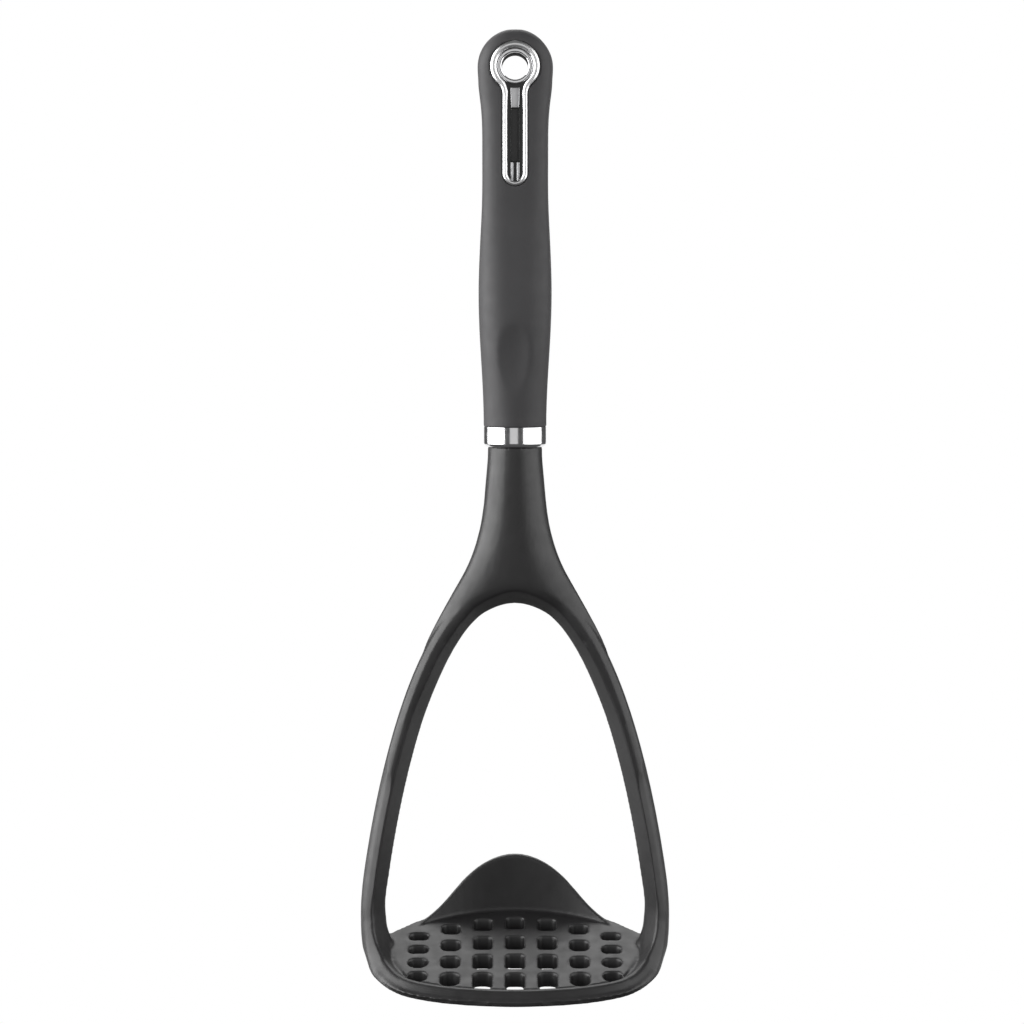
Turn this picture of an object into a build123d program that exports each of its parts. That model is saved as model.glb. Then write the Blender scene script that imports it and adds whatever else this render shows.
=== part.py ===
from build123d import *
import os
from math import copysign, cos, pi, radians, sin, tan

# Potato masher: a soft handle with a keyhole-shaped hanging trim, a bright ferrule and one
# nylon head made of a neck, a wishbone loop, a perforated plate and a raised guard.
# Millimetres. The origin is the centre of the hanging hole, +Z runs up the handle and the
# front of the tool faces -Y. A "drop" is a distance below the origin, a "reach" is one
# towards the front, and X = 0 is the plane of symmetry.

# Handle outline
end_radius = 12.3
end_depth = 17.2
waist_width = 21.6
palm_width = 24.1
palm_depth = 25.2
handle_drop = 118.1
face_margin = 3.4
sleeve_wall = 2.6
moulding_gap = 0.1

# Thumb dimple in the front of the handle
dimple_rise = 20.0
dimple_length = 24.5
dimple_depth = 1.5
dimple_radius = 15.0

# Keyhole trim around the hanging hole
hole_radius = 4.4
eyelet_wall = 0.6
flange_radius = 6.4
flange_thickness = 1.0
bezel_radius = 8.1
bezel_rim = 1.3
bezel_proud = 0.3
stem_width = 8.3
stem_drop = 39.0
stem_shoulder_radius = 4.6
channel_depth = 2.0
tray_thickness = 1.4
bar_width = 3.1
bar_thickness = 1.1
bar_gap = 0.6
collar_radius = 6.6
collar_height = 3.4

# Ferrule, spigot and tang
ferrule_width = 20.7
ferrule_step = 0.05
ferrule_height = 6.7
ferrule_round = 1.5
spigot_width = 15.8
tang_width = 11.0
tang_depth = 8.0
tang_length = 54.0
tang_gap = 0.2
pin_radius = 1.5
pin_height = 27.0
pin_recess = 1.0

# Neck and arms of the head
neck_width = 18.1
flare_depth = 7.6
flare_height = 81.3
neck_length = 48.1
loop_width = 95.3
loop_height = 122.1
arm_width = 8.75
arm_depth = 10.0
arm_round = 3.6
arch_bevel = 2.4

# Bend that leads each arm forward into the plate's rim
elbow_radius = 8.5
elbow_lead = 7.0

# Plate, the rim around its front, its heels under the arms, and the guard
plate_tilt = 20.0
plate_thickness = 4.4
plate_reach = 30.6
plate_back = 25.9
corner_back = 9.3
plate_inset = 0.1
rim_width = 6.6
rim_step = 1.7
rim_round = 1.9
heel_width = 6.4
heel_height = 24.0
slot_columns_beside = 3
slot_pitch_across = 10.8
slot_pitch_along = 11.2
slot_width = 6.4
slot_middle = -1.6
guard_thickness = 3.0
guard_height = 18.0
guard_width = 58.0

# Sampling of the smooth outlines and one overrun for every cut
outline_points = 16
cap_steps = 6
handle_steps = 14
overrun = 1.0

# Where the handle's waist, its widest and its deepest place lie, as shares of handle_drop
waist_shares = (0.18, 0.31)
palm_share = 0.63
belly_share = 0.72
# How square the handle's section is at the hole, at the palm and at the ferrule
squareness_shares = (3.4, 2.7, 2.05)
# The neck's flare: shares of its height, and of how far it has widened and thinned
flare_shares = (
    (0.00, 0.00, 0.00),
    (0.10, 0.015, 0.00),
    (0.22, 0.05, 0.01),
    (0.343, 0.112, 0.05),
    (0.425, 0.189, 0.09),
    (0.507, 0.301, 0.15),
    (0.589, 0.45, 0.24),
    (0.68, 0.615, 0.38),
    (0.778, 0.781, 0.57),
    (0.88, 0.90, 0.79),
    (1.00, 1.00, 1.00),
)
flare_squareness_share = 2.05
# How round the small front edges of the bezel, the bar and the eyelet are
bezel_round_share = 0.45
bar_round_share = 0.25
flange_round_share = 0.33
# The flare's width at its lower end, as a share of the loop's width
flare_width_share = 0.715
# Centre line of one arm: shares of half the loop's width and of the arm's height
arm_shares = (
    (0.000, 0.000),
    (0.237, 0.026),
    (0.367, 0.067),
    (0.500, 0.140),
    (0.592, 0.210),
    (0.725, 0.346),
    (0.823, 0.481),
    (0.900, 0.616),
    (0.960, 0.750),
    (0.996, 0.885),
    (0.990, 0.955),
    (0.977, 1.000),
)
# Outward and backward bulge of the plate's back corners, as a share of their straight run
corner_bulge_share = 0.18
# Half the plate's outline from its end to its front: shares of half its width and its reach
plate_shares = (
    (1.000, -0.030),
    (0.969, 0.193),
    (0.928, 0.400),
    (0.866, 0.600),
    (0.780, 0.765),
    (0.670, 0.860),
    (0.480, 0.940),
    (0.240, 0.985),
    (0.000, 1.000),
)
# How the rows draw together and shift from the middle column to the last one, as shares
row_closing_share = -0.32
row_shift_share = -0.079
# Length of the slots as shares of the rows' pitch, from the back row to the front row
slot_length_shares = (0.63, 0.69, 0.75, 0.83)
# How much shorter and rounder the slots get, from the middle column to the last one
slot_shorter_shares = (1.0, 1.0, 0.90, 0.86)
slot_corner_shares = (0.22, 0.24, 0.36, 0.47)
# The elbow's sections from the arm to the rim: shares of its turn, of the way from the
# arm's centre line to the rim's, and of the way from the arm's size to the rim's, and
# how full each section is
elbow_shares = (
    (0.00, 0.00, 0.00, 0.96),
    (0.35, 0.15, 0.25, 0.98),
    (0.70, 0.50, 0.65, 1.00),
    (1.00, 1.00, 1.00, 1.00),
)
elbow_core_share = 0.70
elbow_squareness_share = 2.8
# Across place of the arm's foot and of the rim's side, as shares of half their widths
arm_foot_share = 0.990
rim_side_share = 0.973
# How far the back of a heel is hollowed out, as a share of its straight run
heel_hollow_share = 0.12
# Half the guard's outline: shares of half its width and of its height
guard_shares = (
    (0.00, 1.00),
    (0.33, 0.86),
    (0.59, 0.55),
    (0.80, 0.18),
    (0.95, -0.05),
    (1.12, -0.24),
    (1.32, -0.50),
)

# Places worked out from the sizes above
flat_face_drop = stem_drop + face_margin
handle_end_width = ferrule_width + 2 * ferrule_step
dimple_drop = handle_drop - dimple_rise
face_reach = end_depth / 2
tray_front = face_reach - channel_depth
tray_back = tray_front - tray_thickness
eyelet_radius = hole_radius + eyelet_wall
collar_seat = face_reach - collar_height
core_inset = sleeve_wall + moulding_gap
neck_drop = handle_drop + ferrule_height
arch_drop = neck_drop + neck_length
arm_drop = arch_drop + loop_height
flare_width = loop_width * flare_width_share
plate_width = loop_width * arm_shares[-1][0] + arm_width - 2 * plate_inset
heel_outer = plate_width / 2 - (arm_width - heel_width) / 2
back_corner = heel_outer - heel_width
back_edge_sag = plate_back - corner_back
back_edge_radius = (back_corner**2 + back_edge_sag**2) / (2 * back_edge_sag)
tilt = radians(plate_tilt)
slab_height = (plate_thickness + rim_step) / cos(tilt)
rim_top_drop = arm_drop - slab_height / 2
plate_top_drop = rim_top_drop + rim_step / cos(tilt)

# The handle's width, depth and squareness at drops down its length
width_keys = (
    (0, 2 * end_radius),
    (waist_shares[0] * handle_drop, waist_width),
    (waist_shares[1] * handle_drop, waist_width),
    (palm_share * handle_drop, palm_width),
    (handle_drop, handle_end_width),
)
depth_keys = (
    (0, end_depth),
    (flat_face_drop, end_depth),
    (belly_share * handle_drop, palm_depth),
    (handle_drop, handle_end_width),
)
squareness_keys = (
    (0, squareness_shares[0]),
    (palm_share * handle_drop, squareness_shares[1]),
    (handle_drop, squareness_shares[2]),
)


def smooth_step(keys, drop):
    """Value at a drop, eased between neighbouring (drop, value) keys."""
    for (start, first), (end, last) in zip(keys, keys[1:]):
        if drop <= end:
            ease = (1 - cos(pi * (drop - start) / (end - start))) / 2
            return first + (last - first) * ease
    return keys[-1][1]


def rounded_section(width, depth, squareness, plane):
    """Closed smooth outline between an ellipse and a rectangle, as a face on a plane."""
    points = []
    for step in range(outline_points):
        angle = 2 * pi * step / outline_points
        across = copysign(abs(cos(angle)) ** (2 / squareness), cos(angle))
        along = copysign(abs(sin(angle)) ** (2 / squareness), sin(angle))
        points.append(plane.from_local_coords((across * width / 2, along * depth / 2)))
    return make_face(Spline(*points, periodic=True))


def level_plane(drop):
    """Horizontal plane at a drop below the hanging hole."""
    return Plane.XY.offset(-drop)


def front_plane(reach):
    """Upright plane that faces the front, at a reach from the handle's axis."""
    return Plane.XZ.offset(reach)


def handle_solid(inset):
    """Handle shape with its skin moved inwards by an inset, its lower end kept."""
    sections = []
    for step in range(handle_steps, -1, -1):
        drop = handle_drop * step / handle_steps
        width = smooth_step(width_keys, drop) - 2 * inset
        depth = smooth_step(depth_keys, drop) - 2 * inset
        squareness = smooth_step(squareness_keys, drop)
        sections.append(rounded_section(width, depth, squareness, level_plane(drop)))
    for step in range(1, cap_steps + 1):
        climb = pi / 2 * step / (cap_steps + 1)
        rise = (end_radius - inset) * sin(climb)
        width = 2 * (end_radius - inset) * cos(climb)
        depth = (end_depth - 2 * inset) * (1 - sin(climb) ** 4) ** (1 / 4)
        plane = level_plane(-rise)
        sections.append(rounded_section(width, depth, squareness_shares[0], plane))
    return loft(sections)


def keyhole_face(inset, reach):
    """Keyhole outline, made smaller by an inset, on an upright plane."""
    half_stem = stem_width / 2 - inset
    straight = stem_drop - stem_width / 2
    head = Circle(bezel_radius - inset)
    stem = Pos(0, -straight / 2) * Rectangle(2 * half_stem, straight)
    tip = Pos(0, -straight) * Circle(half_stem)
    outline = head + stem + tip
    shoulders = [
        corner
        for corner in outline.vertices()
        if corner.Y < 0 and corner.Y > -bezel_radius
    ]
    outline = fillet(shoulders, stem_shoulder_radius + inset)
    return front_plane(reach) * outline


def cross_hole(radius, front, back):
    """Round rod along Y at the hanging hole, between two reaches."""
    disc = front_plane(back) * Circle(radius)
    return extrude(disc, front - back)


def make_handle_core():
    core = handle_solid(core_inset)
    pocket_reach = tray_back - moulding_gap
    pocket = extrude(keyhole_face(-moulding_gap, pocket_reach), face_reach)
    seat_reach = -collar_seat + moulding_gap
    seat = cross_hole(collar_radius + moulding_gap, seat_reach, -palm_depth)
    bore = cross_hole(eyelet_radius + moulding_gap, palm_depth, -palm_depth)
    socket_width = tang_width + 2 * tang_gap
    socket_depth = tang_depth + 2 * tang_gap
    mouth = level_plane(handle_drop + overrun) * Rectangle(socket_width, socket_depth)
    socket = extrude(mouth, tang_length + tang_gap + overrun)
    return core - pocket - seat - bore - socket - pin_rod(moulding_gap, overrun)


def pin_rod(clearance, longer):
    """The cross pin's rod, made fatter by a clearance and longer at both ends."""
    core_depth = palm_depth - 2 * core_inset
    half_length = core_depth / 2 - pin_recess + longer
    plane = front_plane(-half_length)
    disc = plane * Pos(0, pin_height - handle_drop) * Circle(pin_radius + clearance)
    return extrude(disc, 2 * half_length)


def make_tang_pin():
    return pin_rod(0, 0)


def dimple_tool():
    """Spindle that sinks the dimple's length and depth into the front of the handle."""
    half_length = dimple_length / 2
    long_radius = (half_length**2 + dimple_depth**2) / (2 * dimple_depth)
    half_spindle = (2 * long_radius * dimple_radius - dimple_radius**2) ** 0.5
    arc = ThreePointArc((0, -half_spindle), (dimple_radius, 0), (0, half_spindle))
    profile = make_face(arc + Line(arc @ 1, arc @ 0))
    spindle = revolve(Plane.XZ * profile, Axis.Z)
    reach = smooth_step(depth_keys, dimple_drop) / 2 - dimple_depth + dimple_radius
    return Pos(0, -reach, -dimple_drop) * spindle


def make_grip_sleeve():
    sleeve = handle_solid(0) - handle_solid(sleeve_wall)
    window = extrude(keyhole_face(-moulding_gap, 0), palm_depth)
    back_hole = cross_hole(collar_radius + moulding_gap, 0, -palm_depth)
    return sleeve - dimple_tool() - window - back_hole


def make_keyhole_tray():
    plate = extrude(keyhole_face(0, tray_back), tray_thickness)
    return plate - cross_hole(eyelet_radius + moulding_gap, face_reach, 0)


def make_keyhole_bezel():
    height = channel_depth + bezel_proud
    rim = extrude(keyhole_face(0, tray_front), height)
    rim -= extrude(keyhole_face(bezel_rim, tray_front - overrun), height + 2 * overrun)
    front_edges = rim.faces().sort_by(Axis.Y)[0].edges()
    return fillet(front_edges, bezel_rim * bezel_round_share)


def make_keyhole_bar():
    top = -flange_radius - bar_gap
    bottom = -stem_drop + bezel_rim + bar_gap
    plane = front_plane(tray_front)
    outline = Pos(0, (top + bottom) / 2) * Rectangle(bar_width, top - bottom)
    bar = extrude(plane * outline, bar_thickness)
    front_edges = bar.faces().sort_by(Axis.Y)[0].edges()
    return fillet(front_edges, bar_thickness * bar_round_share)


def make_hanging_eyelet():
    flange = cross_hole(flange_radius, tray_front + flange_thickness, tray_front)
    tube = cross_hole(eyelet_radius, tray_front + flange_thickness, -face_reach)
    eyelet = flange + tube
    eyelet -= cross_hole(hole_radius, face_reach + overrun, -face_reach - overrun)
    front_edges = eyelet.faces().sort_by(Axis.Y)[0].edges()
    return fillet(front_edges, flange_thickness * flange_round_share)


def make_rear_collar():
    outer_reach = -face_reach - bezel_proud
    collar = cross_hole(collar_radius, -collar_seat, outer_reach)
    collar -= cross_hole(eyelet_radius + moulding_gap, 0, outer_reach - overrun)
    back_edges = collar.faces().sort_by(Axis.Y)[-1].edges()
    return fillet(back_edges, bezel_proud)


def make_ferrule():
    disc = level_plane(neck_drop) * Circle(ferrule_width / 2)
    ring = extrude(disc, ferrule_height)
    ring = fillet(ring.edges().sort_by(Axis.Z)[0], ferrule_round)
    bore = level_plane(neck_drop + overrun) * Circle(spigot_width / 2 + moulding_gap)
    return ring - extrude(bore, ferrule_height + 2 * overrun)


def make_tang():
    """Spigot through the ferrule and the flat tang above it."""
    spigot = extrude(level_plane(neck_drop) * Circle(spigot_width / 2), ferrule_height)
    blade = level_plane(handle_drop) * Rectangle(tang_width, tang_depth)
    return spigot + extrude(blade, tang_length) - pin_rod(moulding_gap, overrun)


def mirrored(points):
    """Points of half an outline that ends at X = 0, and their mirror images after them."""
    return points + [(-x, y) for x, y in reversed(points[:-1])]


def arm_line():
    """Centre line of both arms, from the right foot over the arch to the left foot."""
    right = [
        (across * loop_width / 2, -arch_drop - down * loop_height)
        for across, down in reversed(arm_shares)
    ]
    return mirrored(right)


def beside(points, distance):
    """Smooth line at a distance beside a line of points, on its right-hand side."""
    line = Spline(*points)
    shifted = []
    for step in range(len(points)):
        share = line.param_at_point(points[step])
        along = line % share
        shifted.append(line @ share + Vector(along.Y, -along.X) * distance)
    return Spline(*shifted)


def make_neck():
    """Round neck that flares into the arms, open below the bevelled arch."""
    sections = []
    for down, wider, thinner in flare_shares:
        width = neck_width + (flare_width - neck_width) * wider
        depth = neck_width + (flare_depth - neck_width) * thinner
        plane = level_plane(neck_drop + flare_height * down)
        sections.append(rounded_section(width, depth, flare_squareness_share, plane))
    return loft(sections) - arch_opening(neck_width / 2) - arch_opening(-neck_width / 2)


def arch_opening(reach):
    """Space under the arch, wider by the bevel where it comes out at a reach."""
    middle = Spline(*arm_line())
    wide = beside(arm_line(), arch_bevel)
    narrow_end = make_face(middle + Line(middle @ 1, middle @ 0))
    wide_end = make_face(wide + Line(wide @ 1, wide @ 0))
    return loft([front_plane(0) * narrow_end, front_plane(reach) * wide_end], ruled=True)


def make_arms():
    """Both arms and the arch between them, with rounded edges."""
    outer = beside(arm_line(), arm_width / 2)
    inner = beside(arm_line(), -arm_width / 2)
    feet = Line(outer @ 0, inner @ 0) + Line(outer @ 1, inner @ 1)
    band = Plane.XZ * make_face(outer + inner + feet)
    arms = extrude(band, arm_depth / 2, both=True)
    long_edges = [edge for edge in arms.edges() if edge.length > loop_height]
    return fillet(long_edges, arm_round)


def elbow_section(across, reach, drop, turn, width, depth):
    """Section of the elbow, square to its line, at a turn in degrees from straight down."""
    plane = Plane(
        origin=(across, -reach, -drop),
        x_dir=(1, 0, 0),
        z_dir=(0, -sin(radians(turn)), -cos(radians(turn))),
    )
    return rounded_section(width, depth, elbow_squareness_share, plane)


def make_elbows():
    """Bends that carry the arms forward into the rim around the plate's front."""
    slab = plate_thickness + rim_step
    whole_turn = 90 - plate_tilt
    end_reach = elbow_radius * (1 - sin(tilt))
    middle_drop = arm_drop + end_reach * tan(tilt)
    start_drop = middle_drop - elbow_radius * cos(tilt)
    arm_across = arm_foot_share * loop_width / 2
    rim_across = rim_side_share * plate_width / 2 - rim_width / 2
    core_width = arm_width * elbow_core_share
    core_depth = arm_depth * elbow_core_share
    sections = [
        elbow_section(arm_across, 0, start_drop - elbow_lead, 0, core_width, core_depth)
    ]
    for turned, shifted, resized, full in elbow_shares:
        turn = whole_turn * turned
        reach = elbow_radius * (1 - cos(radians(turn)))
        drop = start_drop + elbow_radius * sin(radians(turn))
        across = arm_across + (rim_across - arm_across) * shifted
        width = (arm_width + (rim_width - arm_width) * resized) * full
        depth = (arm_depth + (slab - arm_depth) * resized) * full
        sections.append(elbow_section(across, reach, drop, turn, width, depth))
    sections.append(
        elbow_section(
            rim_across - rim_width / 2,
            end_reach + elbow_lead * cos(tilt),
            middle_drop + elbow_lead * sin(tilt),
            whole_turn,
            rim_width * elbow_core_share,
            slab * elbow_core_share,
        )
    )
    elbow = loft(sections)
    return [elbow, mirror(elbow, Plane.YZ)]


def plate_outline(inset):
    """Plate seen from above, its front made smaller by an inset, as a face at Z = 0."""
    half = plate_width / 2 - inset
    reach = plate_reach - inset
    front = Spline(*mirrored([(half * x, -reach * y) for x, y in plate_shares]))
    end = front @ 0
    corner = Vector(back_corner, corner_back)
    run = end - corner
    bulge = (corner + end) / 2 + Vector(-run.Y, run.X) * corner_bulge_share
    right = ThreePointArc(corner, bulge, end)
    back = ThreePointArc((-corner.X, corner.Y), (0, plate_back), corner)
    return make_face(front + right + back + mirror(right, Plane.YZ))


def sloping_slab(top_drop, thickness):
    """Wide slab that slopes up towards the back, at a drop where it meets the axis."""
    plane = Plane(
        origin=(0, 0, -top_drop),
        x_dir=(1, 0, 0),
        z_dir=(0, -sin(tilt), cos(tilt)),
    )
    return extrude(plane * Rectangle(2 * loop_width, 2 * loop_width), -thickness)


def upright(face):
    """Prism over a face seen from above, through the whole height of the head's foot."""
    return extrude(level_plane(arm_drop + loop_width) * face, 2 * loop_width)


def make_plate():
    """Sloping plate with slots through it and a raised rim around its front."""
    whole = sloping_slab(rim_top_drop, plate_thickness + rim_step)
    body = upright(plate_outline(0)) & whole
    rounded = [
        edge
        for edge in body.edges()
        if edge.center().Y < -rim_width and edge.length > plate_width
    ]
    body = fillet(rounded, rim_round)
    hollow = upright(plate_outline(rim_width)) & sloping_slab(
        rim_top_drop - rim_step, 2 * rim_step
    )
    return body - hollow - make_slots()


def make_slots():
    """Upright slots in rows that draw together towards the plate's ends."""
    slots = []
    last = slot_columns_beside * slot_pitch_across
    for column in range(-slot_columns_beside, slot_columns_beside + 1):
        across = column * slot_pitch_across
        outward = (across / last) ** 2
        pitch = slot_pitch_along * (1 + row_closing_share * outward)
        middle = slot_middle + row_shift_share * last * outward
        for row, length_share in enumerate(slot_length_shares):
            along = middle + ((len(slot_length_shares) - 1) / 2 - row) * pitch
            length = pitch * length_share * slot_shorter_shares[abs(column)]
            corner = length * slot_corner_shares[abs(column)]
            slots.append(Pos(across, along) * RectangleRounded(slot_width, length, corner))
    return upright(Sketch(children=slots))


def make_heels():
    """Heels that carry the plate's back corners up to the arms."""
    top = Vector(arm_depth / 2 - arm_round / 2, heel_height - arm_drop)
    tip = Vector(corner_back, corner_back * tan(tilt) - plate_top_drop)
    run = tip - top
    hollow = (top + tip) / 2 + Vector(run.Y, -run.X) * heel_hollow_share
    under = (corner_back, corner_back * tan(tilt) - arm_drop)
    sides = Polyline(tip, under, (0, -arm_drop), (0, top.Y), top)
    outline = make_face(ThreePointArc(top, hollow, tip) + sides)
    heel = extrude(Plane.YZ.offset(heel_outer - heel_width) * outline, heel_width)
    heel = heel & upright(plate_outline(0))
    return [heel, mirror(heel, Plane.YZ)]


def make_guard():
    """Curved upright guard along the plate's back edge, with a bell-shaped top."""
    half = guard_width / 2
    foot = plate_back * tan(tilt) - plate_top_drop
    crest = [(half * wide, guard_height * high) for wide, high in reversed(guard_shares)]
    curve = Spline(*mirrored(crest))
    end = curve @ 0
    skirt = Polyline(curve @ 1, (-end.X, -guard_height), (end.X, -guard_height), end)
    bell = extrude(Plane.XZ * Pos(0, foot) * make_face(curve + skirt), -loop_width)
    ring = Circle(back_edge_radius) - Circle(back_edge_radius - guard_thickness)
    strip = upright(Pos(0, plate_back - back_edge_radius) * ring)
    above = sloping_slab(plate_top_drop + plate_thickness / 2, -loop_width)
    return bell & strip & above


def make_mashing_head():
    stem = make_tang().fuse(make_neck(), make_arms())
    return stem.fuse(make_plate(), *make_elbows(), *make_heels(), make_guard())


def main():
    os.makedirs("parts", exist_ok=True)
    nodes = {
        "mashing_head": make_mashing_head(),
        "ferrule": make_ferrule(),
        "handle_core": make_handle_core(),
        "tang_pin": make_tang_pin(),
        "grip_sleeve": make_grip_sleeve(),
        "keyhole_tray": make_keyhole_tray(),
        "keyhole_bezel": make_keyhole_bezel(),
        "keyhole_bar": make_keyhole_bar(),
        "hanging_eyelet": make_hanging_eyelet(),
        "rear_collar": make_rear_collar(),
    }
    for name, shape in nodes.items():
        export_step(shape, f"parts/{name}.step")


main()
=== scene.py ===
import logging
import math
from collections.abc import Callable
from dataclasses import dataclass, field
from enum import Enum

import bpy
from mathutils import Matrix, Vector
from mathutils.kdtree import KDTree


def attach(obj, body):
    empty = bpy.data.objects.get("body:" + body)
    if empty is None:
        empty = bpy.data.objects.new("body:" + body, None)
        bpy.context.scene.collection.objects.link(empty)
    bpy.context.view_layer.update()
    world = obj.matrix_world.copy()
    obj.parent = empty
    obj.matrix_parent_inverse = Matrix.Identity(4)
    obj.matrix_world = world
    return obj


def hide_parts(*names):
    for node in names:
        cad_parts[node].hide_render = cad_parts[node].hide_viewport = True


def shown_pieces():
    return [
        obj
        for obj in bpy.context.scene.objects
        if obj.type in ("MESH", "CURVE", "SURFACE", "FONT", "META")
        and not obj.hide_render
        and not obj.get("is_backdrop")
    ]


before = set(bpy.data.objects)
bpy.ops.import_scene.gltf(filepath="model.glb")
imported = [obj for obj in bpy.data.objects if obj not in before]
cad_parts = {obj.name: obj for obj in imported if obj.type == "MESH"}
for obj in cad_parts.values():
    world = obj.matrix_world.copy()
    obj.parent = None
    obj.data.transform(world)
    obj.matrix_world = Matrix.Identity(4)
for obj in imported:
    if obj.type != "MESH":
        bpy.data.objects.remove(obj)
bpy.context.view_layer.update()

Pair = tuple[float, float]
Triple = tuple[float, float, float]
Object = bpy.types.Object
NodeTree = bpy.types.NodeTree
Socket = bpy.types.NodeSocket
LOG = logging.getLogger("potato_masher")
MM = 0.001
BODY = "root"
MERGE_REACH = 0.002 * MM
CURVE_PARTS = 12
SMOOTH_FACTOR = 0.5
SHARP_ANGLE = math.radians(40.0)


class Grain(Enum):
    """How the fine texture of a finish runs over its piece."""

    EVEN = (1.0, 1.0, 1.0)
    ALONG_HANDLE = (1.0, 1.0, 0.04)
    ROUND_HANDLE = (0.06, 0.06, 1.0)


def fill(node: bpy.types.Node, values: dict[str | int, object]) -> None:
    """Set or link inputs of a node.

    Args:
        node: The node.
        values: For each input, by name or number, its value or the socket that feeds it.
    """
    for name, value in values.items():
        if isinstance(value, Socket):
            node.id_data.links.new(value, node.inputs[name])
        else:
            node.inputs[name].default_value = value


def add_node(
    tree: NodeTree, kind: str, values: dict[str | int, object], **options: object
) -> bpy.types.Node:
    """Add a node.

    Args:
        tree: Node tree that takes the node.
        kind: The node's type.
        values: What its inputs hold, as for `fill`.
        options: Other settings of the node.

    Returns:
        The node.
    """
    node = tree.nodes.new(kind)
    for option, value in options.items():
        setattr(node, option, value)
    fill(node, values)
    return node


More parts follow.
